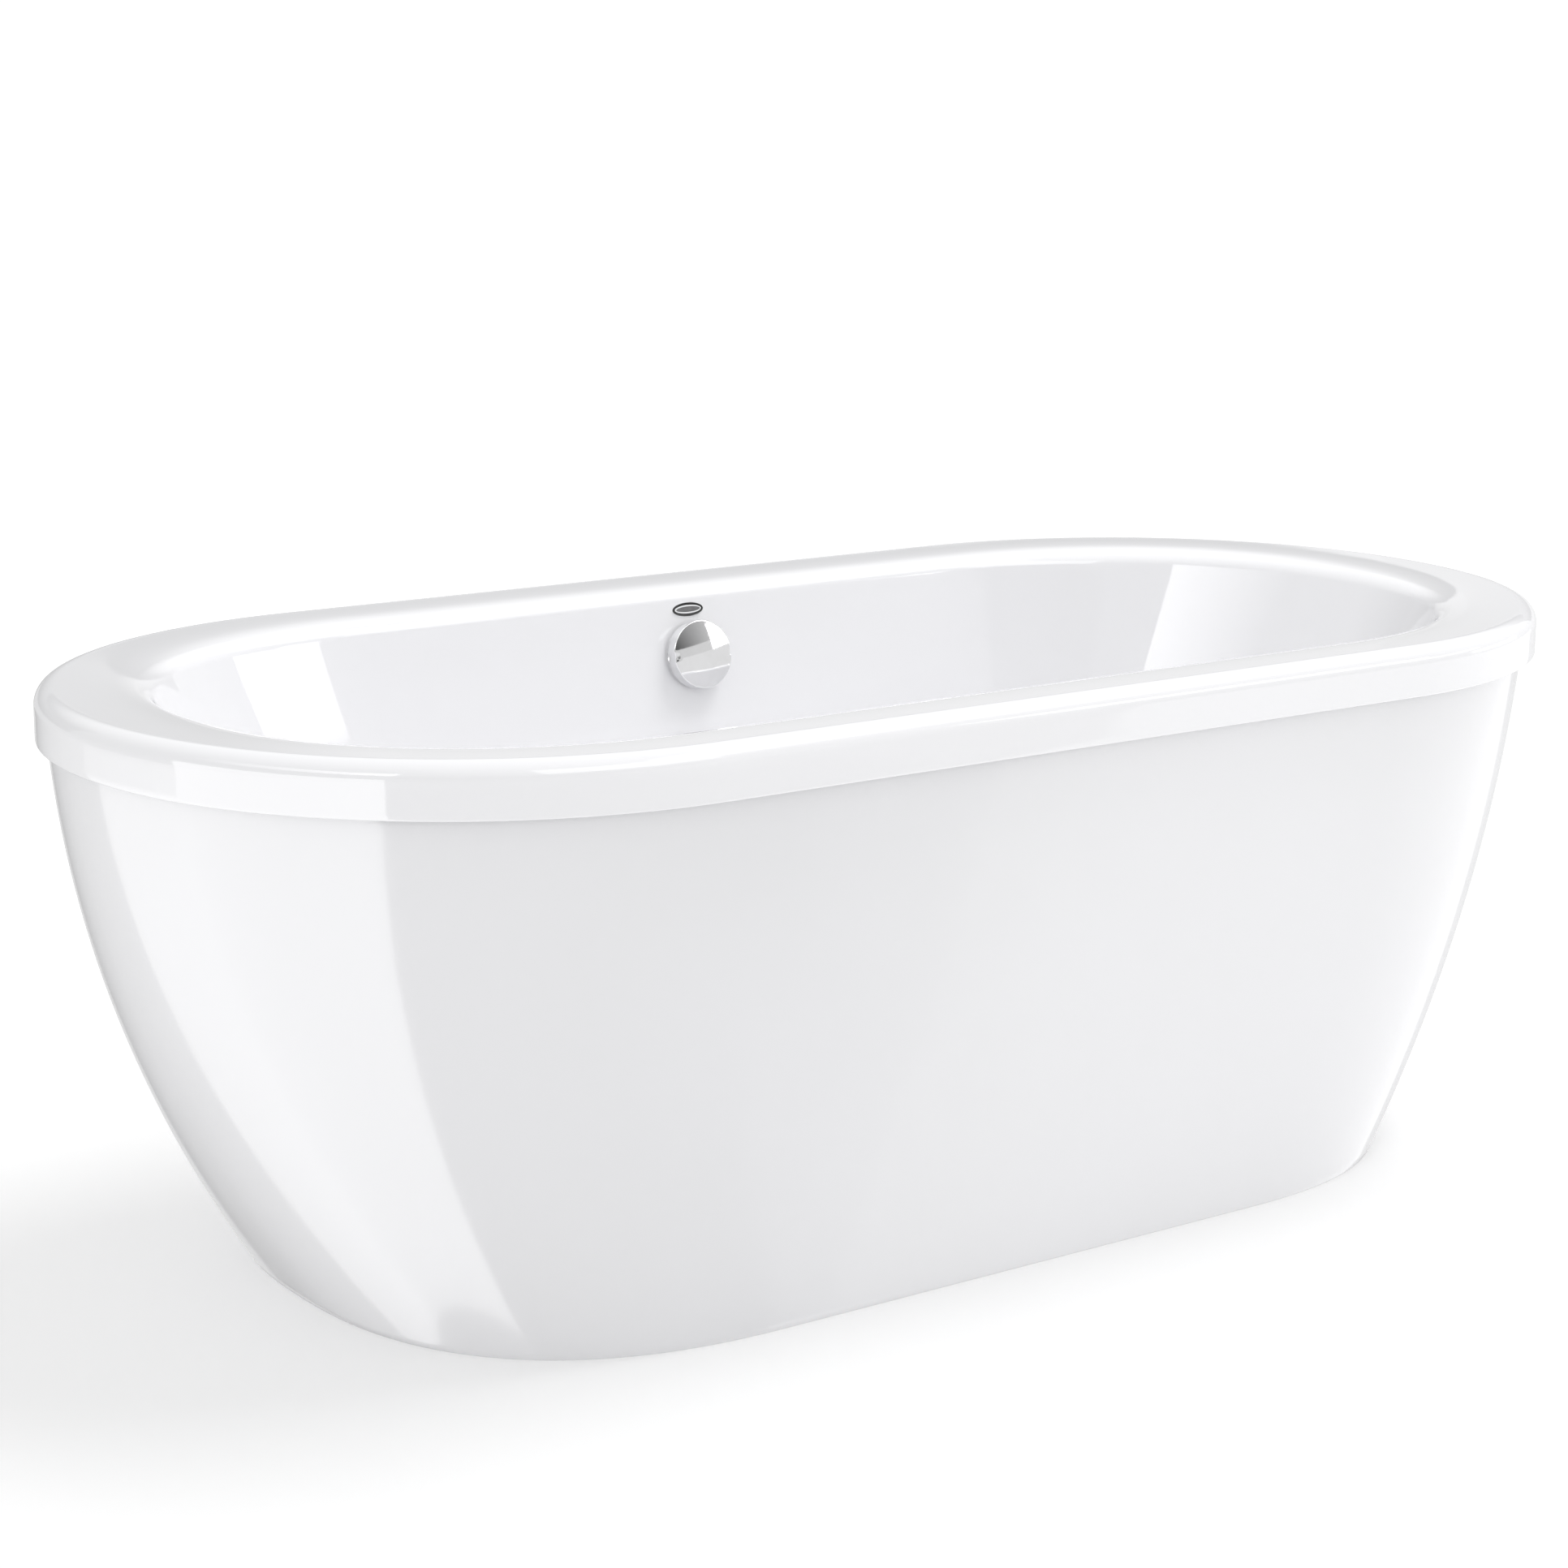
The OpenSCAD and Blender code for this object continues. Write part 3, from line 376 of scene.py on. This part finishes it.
def knob():
    """A hollow cap: domed face, rounded edge, and a shallow finger grip at each side."""
    n = KNOB_TURNS
    angles = [2 * math.pi * j / n for j in range(n)]
    rings = []
    for r, z in knob_profile():
        radii = [r - grip_depth(a, r, z) for a in angles]
        rings.append([on_wall(KNOB_AT, (d * math.cos(a), d * math.sin(a), z))
                      for a, d in zip(angles, radii)])
    points = [p for rg in rings for p in rg]
    faces = loft_faces(rings, closed=False)

    def close(first, z):
        """Join the ring that starts at first to a point on the axis."""
        points.append(on_wall(KNOB_AT, (0, 0, z)))
        faces.extend((first + j, first + (j + 1) % n, len(points) - 1) for j in range(n))
    close((len(rings) - 1) * n, KNOB_FRONT)
    # The bore ends a little way into the face, on the end of the spindle
    inner, bore_z = len(points), KNOB_UNDER + 1
    points += [on_wall(KNOB_AT, (SPINDLE_R * math.cos(a), SPINDLE_R * math.sin(a), bore_z))
               for a in angles]
    faces += [(j, (j + 1) % n, inner + (j + 1) % n, inner + j) for j in range(n)]
    close(inner, bore_z)
    obj = piece("knob_cap", points, faces, "knob", ["overflow_knob"], sharp=50)
    # The set screw's hole, straight up from below
    screw_z = KNOB_BACK + 3
    drill(obj, lambda x, y, z: on_wall(KNOB_AT, (x, -z, screw_z + y)),
          SCREW_R, SPINDLE_R + 0.5, KNOB_R + 8, 50)
    return obj


BADGE_A, BADGE_B = 20, 7.5


def badge():
    """A generic oval badge: a dark enamel band and a white raised rim round a plain field."""
    z0 = DECK_Z - ROLL_DROP - BADGE_B - 1
    at = Vector((KNOB_AT.x, well_section(z0)[1], z0))
    turns = 160
    # (distance in from the edge, height, material): 0 polished, 1 dark enamel, 2 satin, 3 white
    profile = [(0, 0, 0), (0, 0.9, 0), (0.1, 1.1, 1), (0.25, 1.15, 1), (0.4, 1.0, 1),
               (2.8, 1.0, 1), (2.9, 1.3, 3), (3.0, 1.6, 3), (3.4, 1.75, 3), (4.2, 1.75, 3),
               (4.5, 1.6, 3), (4.6, 1.3, 2), (4.7, 1.0, 2), (5.6, 1.0, 2), (6.6, 1.05, 2)]
    rings = [[on_wall(at, ((BADGE_A - d) * math.cos(2 * math.pi * j / turns),
                           (BADGE_B - d) * math.sin(2 * math.pi * j / turns), z))
              for j in range(turns)] for d, z, _ in profile]
    points = [p for rg in rings for p in rg]
    faces = loft_faces(rings, closed=False)
    kinds = [profile[i + 1][2] for i in range(len(rings) - 1) for _ in range(turns)]
    faces += [tuple(range((len(rings) - 1) * turns, len(rings) * turns)),
              tuple(reversed(range(turns)))]
    kinds += [2, 0]
    obj = piece("badge_oval", points, faces, "bath", ["oval_badge"], sharp=55)
    return obj, kinds


# ---------------------------------------------------------------- materials
class Look:
    """A procedural material: a Principled shader with a few node-building helpers."""

    def __init__(self, name, metallic=0.0, roughness=0.5, ior=1.5, coat=0.0):
        self.material = bpy.data.materials.new(name)
        self.material.use_nodes = True
        self.tree = self.material.node_tree
        self.tree.nodes.clear()
        self.shader = self.tree.nodes.new("ShaderNodeBsdfPrincipled")
        output = self.tree.nodes.new("ShaderNodeOutputMaterial")
        self.link(self.shader.outputs["BSDF"], output.inputs["Surface"])
        s = self.shader.inputs
        s["Metallic"].default_value = metallic
        s["Roughness"].default_value = roughness
        s["IOR"].default_value = ior
        s["Coat Weight"].default_value = coat
        self.coords = self.tree.nodes.new("ShaderNodeTexCoord").outputs["Object"]

    def link(self, a, b):
        self.tree.links.new(a, b)

    def stretched(self, scale, turn=(0, 0, 0)):
        m = self.tree.nodes.new("ShaderNodeMapping")
        m.inputs["Scale"].default_value = scale
        m.inputs["Rotation"].default_value = turn
        self.link(self.coords, m.inputs["Vector"])
        return m.outputs["Vector"]

    def noise(self, scale, detail=2.0, rough=0.5, vector=None, distortion=0.0):
        n = self.tree.nodes.new("ShaderNodeTexNoise")
        n.inputs["Scale"].default_value = scale
        n.inputs["Detail"].default_value = detail
        n.inputs["Roughness"].default_value = rough
        n.inputs["Distortion"].default_value = distortion
        self.link(vector or self.coords, n.inputs["Vector"])
        return n.outputs["Fac"]

    def remap(self, value, lo, hi, from_lo=0.3, from_hi=0.7):
        m = self.tree.nodes.new("ShaderNodeMapRange")
        for key, v in (("From Min", from_lo), ("From Max", from_hi), ("To Min", lo), ("To Max", hi)):
            m.inputs[key].default_value = v
        self.link(value, m.inputs["Value"])
        return m.outputs["Result"]

    def colours(self, value, *stops):
        r = self.tree.nodes.new("ShaderNodeValToRGB")
        ramp = r.color_ramp
        while len(ramp.elements) < len(stops):
            ramp.elements.new(0.5)
        for e, (at, c) in zip(ramp.elements, stops):
            e.position, e.color = at, (*c, 1)
        self.link(value, r.inputs["Fac"])
        return r.outputs["Color"]

    def colour(self, socket):
        self.link(socket, self.shader.inputs["Base Color"])

    def rough(self, value, lo, hi):
        self.link(self.remap(value, lo, hi), self.shader.inputs["Roughness"])

    def bump(self, *layers):
        """Each layer is (height socket, metres of relief)."""
        normal = None
        for height, relief in layers:
            b = self.tree.nodes.new("ShaderNodeBump")
            b.inputs["Strength"].default_value = 1.0
            b.inputs["Distance"].default_value = relief
            self.link(height, b.inputs["Height"])
            if normal is not None:
                self.link(normal, b.inputs["Normal"])
            normal = b.outputs["Normal"]
        self.link(normal, self.shader.inputs["Normal"])


def grey(v, tint=0.0):
    """A grey, a little bluer by its tint."""
    return (v, v, v * (1 + 2 * tint))


def acrylic(name, shade, rough, wave):
    """Glossy white, with a slow wave of so many metres in its surface."""
    look = Look(name, ior=1.49, coat=0.15)
    look.shader.inputs["Coat Roughness"].default_value = 0.02
    clouds = look.noise(2.6, 2)
    look.colour(look.colours(clouds, (0.3, grey(shade * 0.985, 0.008)), (0.7, grey(shade, 0.01))))
    look.rough(look.noise(14, 3), *rough)
    look.bump((look.noise(5.5, 1.5), wave), (look.noise(420, 1), 0.000006))
    return look.material


def polished(name, tone, rough, smear=60):
    """Bright plated metal with a faint film on it."""
    look = Look(name, metallic=1.0)
    film = look.noise(smear, 3, 0.6)
    look.colour(look.colours(film, (0.3, grey(tone * 0.96, 0.004)), (0.7, grey(tone, 0.006))))
    look.rough(look.noise(smear * 3, 3, 0.7), *rough)
    look.bump((look.noise(900, 2), 0.000002))
    return look.material


def satin_metal(name, light, dark, rough, grain=(1, 1, 1)):
    """Duller metal; grain stretches the fine marks of turning or plating."""
    look = Look(name, metallic=1.0)
    patches = look.noise(70, 4, 0.65)
    look.colour(look.colours(patches, (0.3, dark), (0.7, light)))
    lines = look.noise(260, 3, 0.6, look.stretched(grain))
    look.rough(lines, *rough)
    look.bump((lines, 0.00002), (look.noise(1400, 2), 0.00001))
    return look.material


def moulded(name, light, dark, rough, relief=0.00003, size=900):
    """Plastic, rubber or paint with a fine texture of this relief and size."""
    look = Look(name, ior=1.5)
    look.colour(look.colours(look.noise(35, 3), (0.3, dark), (0.7, light)))
    grain = look.noise(size, 2, 0.6)
    look.rough(look.noise(180, 3), *rough)
    look.bump((grain, relief))
    return look.material


def plywood():
    """Long grain on the faces and plies on the edges."""
    look = Look("plywood_raw", ior=1.45)
    grain = look.noise(38, 5, 0.6, look.stretched((0.35, 5.5, 5.5)), 0.6)
    figure = look.colours(grain, (0.25, (0.42, 0.27, 0.14)), (0.5, (0.62, 0.44, 0.26)),
                          (0.8, (0.74, 0.57, 0.37)))
    # The cut edge shows the plies, light and dark in turn
    wave = look.tree.nodes.new("ShaderNodeTexWave")
    wave.bands_direction = "Z"
    wave.inputs["Scale"].default_value = 52
    wave.inputs["Distortion"].default_value = 0.3
    look.link(look.coords, wave.inputs["Vector"])
    plies = look.colours(wave.outputs["Fac"], (0.35, (0.36, 0.23, 0.12)), (0.65, (0.7, 0.53, 0.34)))
    geometry = look.tree.nodes.new("ShaderNodeNewGeometry")
    parts = look.tree.nodes.new("ShaderNodeSeparateXYZ")
    look.link(geometry.outputs["Normal"], parts.inputs["Vector"])
    flat = look.tree.nodes.new("ShaderNodeMath")
    flat.operation = "ABSOLUTE"
    look.link(parts.outputs["Z"], flat.inputs[0])
    both = look.tree.nodes.new("ShaderNodeMix")
    both.data_type = "RGBA"
    look.link(flat.outputs["Value"], both.inputs["Factor"])
    look.link(plies, both.inputs["A"])
    look.link(figure, both.inputs["B"])
    look.colour(both.outputs["Result"])
    look.rough(grain, 0.55, 0.8)
    look.bump((grain, 0.00012))
    return look.material


def looks():
    """One material for each slot of the record."""
    return {
        "acrylic_basin": acrylic("acrylic_basin", 0.9, (0.03, 0.06), 0.00035),
        # The skirt's white is set darker than the basin's: painted shade for the lower light that falls on the
        # skirt's outward faces
        "acrylic_skirt": acrylic("acrylic_skirt", 0.842, (0.09, 0.14), 0.0005),
        "sealant": moulded("sealant_bead", grey(0.8), grey(0.74), (0.35, 0.5), 0.0002, 60),
        "plywood": plywood(),
        "painted_steel": moulded("powder_coat", grey(0.12, 0.03), grey(0.1, 0.03), (0.38, 0.5),
                                 0.00006, 650),
        "zinc_steel": satin_metal("zinc_plate", (0.66, 0.67, 0.69), (0.5, 0.52, 0.55),
                                  (0.24, 0.42), (1, 1, 6)),
        "black_plastic": moulded("moulded_black", grey(0.036, 0.03), grey(0.026, 0.03),
                                 (0.4, 0.55)),
        "grey_hose": moulded("hose_grey", grey(0.5, 0.02), grey(0.44, 0.02), (0.4, 0.55),
                             0.00004, 500),
        "seal_rubber": moulded("rubber_black", grey(0.022), grey(0.015), (0.6, 0.8), 0.00005),
        "chrome": polished("chrome_plate", 0.86, (0.02, 0.05)),
        "badge_metal": polished("badge_polish", 0.86, (0.05, 0.1)),
        "brass": satin_metal("brass_turned", (0.83, 0.63, 0.28), (0.68, 0.48, 0.2),
                             (0.18, 0.32), (6, 1, 6)),
    }


LOOKS = looks()
for name, obj in NODES.items():
    obj.data.materials.clear()
    obj.data.materials.append(LOOKS[SLOT_OF[name]])
basin().data.materials.append(LOOKS["acrylic_basin"])
skirt().data.materials.append(LOOKS["acrylic_skirt"])
knob().data.materials.append(LOOKS["chrome"])
oval, kinds = badge()
for material in (LOOKS["badge_metal"],
                 moulded("badge_enamel", grey(0.012), grey(0.008), (0.4, 0.5), 0.000004, 300),
                 satin_metal("badge_field", grey(0.2, 0.01), grey(0.14, 0.01), (0.3, 0.42),
                             (8, 1, 1)),
                 acrylic("badge_white", 0.86, (0.08, 0.14), 0.0)):
    oval.data.materials.append(material)
for face, kind in zip(oval.data.polygons, kinds):
    face.material_index = kind


# ---------------------------------------------------------------- floor and light
FLOOR_SIZE = 60                         # metres from the middle to each side
# The floor's own glow near the bath and far off, and the distances it changes between
FLOOR_LIFT, FLOOR_LIFT_FAR, LIFT_FROM, LIFT_TO = 0.25, 0.45, 1.2, 4.5


def floor():
    """Pale and plain. Its own glow lifts the shadows a little, and fades it to white far off."""
    mesh = bpy.data.meshes.new("floor")
    mesh.from_pydata([(x * FLOOR_SIZE, y * FLOOR_SIZE, 0)
                      for x, y in ((-1, -1), (1, -1), (1, 1), (-1, 1))], [], [(0, 1, 2, 3)])
    obj = bpy.data.objects.new("floor", mesh)
    scene.collection.objects.link(obj)
    look = Look("floor_white", roughness=0.9)
    look.shader.inputs["Specular IOR Level"].default_value = 0.0
    look.colour(look.colours(look.noise(0.8, 3), (0.3, grey(0.74)), (0.7, grey(0.76))))
    look.shader.inputs["Emission Color"].default_value = (1, 1, 1, 1)
    away = look.tree.nodes.new("ShaderNodeVectorMath")
    away.operation = "LENGTH"
    look.link(look.coords, away.inputs[0])
    lift = look.remap(away.outputs["Value"], FLOOR_LIFT, FLOOR_LIFT_FAR, LIFT_FROM, LIFT_TO)
    look.link(lift, look.shader.inputs["Emission Strength"])
    mesh.materials.append(look.material)
    obj.visible_glossy = False


# The room's brightness from straight down (0) to straight up (1)
ROOM = ((0.0, 0.8), (0.45, 0.72), (0.55, 0.66), (0.75, 0.9), (1.0, 1.0))
# Its strength, what its two sides gain low down, and the heights where that fades out
ROOM_GAIN, SIDE_GAIN, SIDE_FADE = 0.87, 0.35, (0.1, 0.5)
BACKDROP = 1.05


def studio():
    """A pale room: brighter overhead and at the sides than in front, and a white backdrop."""
    world = bpy.data.worlds.new("studio")
    scene.world = world
    world.use_nodes = True
    tree = world.node_tree
    tree.nodes.clear()
    new, link = tree.nodes.new, tree.links.new
    parts = new("ShaderNodeSeparateXYZ")
    link(new("ShaderNodeTexCoord").outputs["Generated"], parts.inputs["Vector"])
    ramp, spread = new("ShaderNodeValToRGB"), new("ShaderNodeMapRange")
    spread.inputs["From Min"].default_value = -1
    link(parts.outputs["Z"], spread.inputs["Value"])
    link(spread.outputs["Result"], ramp.inputs["Fac"])
    while len(ramp.color_ramp.elements) < len(ROOM):
        ramp.color_ramp.elements.new(0.5)
    for e, (at, v) in zip(ramp.color_ramp.elements, ROOM):
        e.position, e.color = at, (v, v, v, 1)
    # Low down, the two sides are brighter than the front and the back
    side, gain = new("ShaderNodeMath"), new("ShaderNodeMath")
    low = new("ShaderNodeMapRange")
    side.operation, gain.operation = "ABSOLUTE", "MULTIPLY_ADD"
    link(parts.outputs["X"], side.inputs[0])
    for key, v in (("From Min", SIDE_FADE[0]), ("From Max", SIDE_FADE[1]),
                   ("To Min", SIDE_GAIN), ("To Max", 0)):
        low.inputs[key].default_value = v
    link(parts.outputs["Z"], low.inputs["Value"])
    link(side.outputs["Value"], gain.inputs[0])
    link(low.outputs["Result"], gain.inputs[1])
    gain.inputs[2].default_value = ROOM_GAIN
    room, backdrop = new("ShaderNodeBackground"), new("ShaderNodeBackground")
    choose = new("ShaderNodeMixShader")
    link(ramp.outputs["Color"], room.inputs["Color"])
    link(gain.outputs["Value"], room.inputs["Strength"])
    backdrop.inputs["Strength"].default_value = BACKDROP
    backdrop.inputs["Color"].default_value = (1, 1, 1, 1)
    link(new("ShaderNodeLightPath").outputs["Is Camera Ray"], choose.inputs["Fac"])
    link(room.outputs["Background"], choose.inputs[1])
    link(backdrop.outputs["Background"], choose.inputs[2])
    link(choose.outputs["Shader"], new("ShaderNodeOutputWorld").inputs["Surface"])


def panel_look():
    """Glows by the mesh's own "glow" values, and lights nothing directly."""
    m = bpy.data.materials.new("panel")
    m.use_nodes = True
    m.cycles.emission_sampling = "NONE"
    tree = m.node_tree
    tree.nodes.clear()
    glow, emit = tree.nodes.new("ShaderNodeAttribute"), tree.nodes.new("ShaderNodeEmission")
    glow.attribute_name = "glow"
    tree.links.new(glow.outputs["Fac"], emit.inputs["Strength"])
    tree.links.new(emit.outputs["Emission"],
                   tree.nodes.new("ShaderNodeOutputMaterial").inputs["Surface"])
    return m


PANEL_LOOK = panel_look()
PANEL_FAR, PANEL_MIDDLE = 40, 0.45      # metres from the bath, and up to their level line


def panel(name, az, el, *levels):
    """A lit card or a dark flag seen only in reflections, between two azimuths and heights.

    levels are its radiance: one value, or left and right, or low left, low right, top left
    and top right."""
    low_left, low_right, top_left, top_right = levels * (4 // len(levels))
    steps = 24
    points, glow = [], []
    for i in range(steps + 1):
        for j in range(steps + 1):
            u, v = j / steps, i / steps
            a, e = math.radians(mix(*az, u)), math.radians(mix(*el, v))
            points.append((PANEL_FAR * math.sin(a) * math.cos(e),
                           -PANEL_FAR * math.cos(a) * math.cos(e),
                           PANEL_MIDDLE + PANEL_FAR * math.sin(e)))
            glow.append(mix(mix(low_left, low_right, u), mix(top_left, top_right, u), v))
    n = steps + 1
    mesh = bpy.data.meshes.new(name)
    mesh.from_pydata(points, [], [(i * n + j, i * n + j + 1, (i + 1) * n + j + 1, (i + 1) * n + j)
                                  for i in range(steps) for j in range(steps)])
    mesh.attributes.new("glow", "FLOAT", "POINT").data.foreach_set("value", glow)
    obj = bpy.data.objects.new(name, mesh)
    scene.collection.objects.link(obj)
    for kind in ("camera", "diffuse", "transmission", "volume_scatter", "shadow"):
        setattr(obj, "visible_" + kind, False)
    mesh.materials.append(PANEL_LOOK)


def softbox(name, at, width, height, radiance):
    """A soft light overhead, aimed at the bath."""
    light = bpy.data.lights.new(name, "AREA")
    light.shape, light.size, light.size_y = "RECTANGLE", width, height
    light.energy = radiance * math.pi * width * height
    obj = bpy.data.objects.new(name, light)
    obj.location = at
    obj.rotation_euler = at.to_track_quat("Z", "Y").to_euler()
    obj.visible_camera = obj.visible_glossy = False
    scene.collection.objects.link(obj)


floor()
studio()
softbox("overhead", Vector((2.5, -0.4, 6.6)), 4.2, 3.1, 5.0)
# Cards and flags to the left
panel("card_left", (-112, -52), (-62, 9), 3.0, 3.2, 3.5, 3.7)
panel("card_left_far", (-150, -112), (-62, -18), 1.9, 3.4)
panel("card_left_far_top", (-150, -112), (-18, -9), 1.9, 3.4, 0.9, 1.6)
panel("flag_left_end", (-192, -150), (-62, -9), 0.35, 1.1, 0.35, 0.9)
panel("card_left_high", (-114, -51), (29, 41), 0.9, 5.2)
# To the right and the front right
panel("card_right", (54, 73), (11.5, 16), 4.0)
panel("card_right_tall", (40, 54), (12.7, 21.5), 4.0)
panel("card_front_low", (5, 54), (3, 12.7), 0.85)
panel("card_right_edge", (67, 94), (-2, 7), 2.4, 1.4)
panel("card_right_low", (41, 110), (-45, -5), 1.7, 1.5)
# Behind
panel("card_back_right", (112, 134), (3, 12.5), 0.3, 0.55)
panel("card_back", (134, 151.5), (3, 12.5), 0.6)
panel("card_back_left", (151.5, 154), (3, 12.5), 0.6, 0.36)
panel("card_back_far_left", (154, 205), (0, 12.5), 0.36)
panel("flag_back_right", (112, 130), (12.5, 17), 0.3, 0.06, 0.3, 0.1)
panel("flag_back_right_high", (112, 130), (17, 28), 0.3, 0.1, 0.95, 0.95)
panel("flag_back", (130, 205), (12.5, 17), 0.06, 0.3, 0.1, 0.3)
panel("flag_back_high", (130, 205), (17, 28), 0.1, 0.3, 0.95, 0.6)
panel("flag_back_low", (130, 165), (-10, 2), 0.5)
# High up, from the front round to the right
panel("card_top_front", (-12, 38), (30, 54), 3.2)
panel("card_top_right", (38, 140), (37, 60), 3.2, 5.0)
# In front
panel("flag_front", (-51, 20), (13.4, 29), 0.3, 0.3, 0.4, 0.4)
panel("flag_front_right", (20, 40), (16, 29), 0.04, 0.6, 0.25, 0.6)
panel("flag_front_low", (-51.5, 38), (-65, -12), 0.55)

scene.view_settings.view_transform = "Standard"
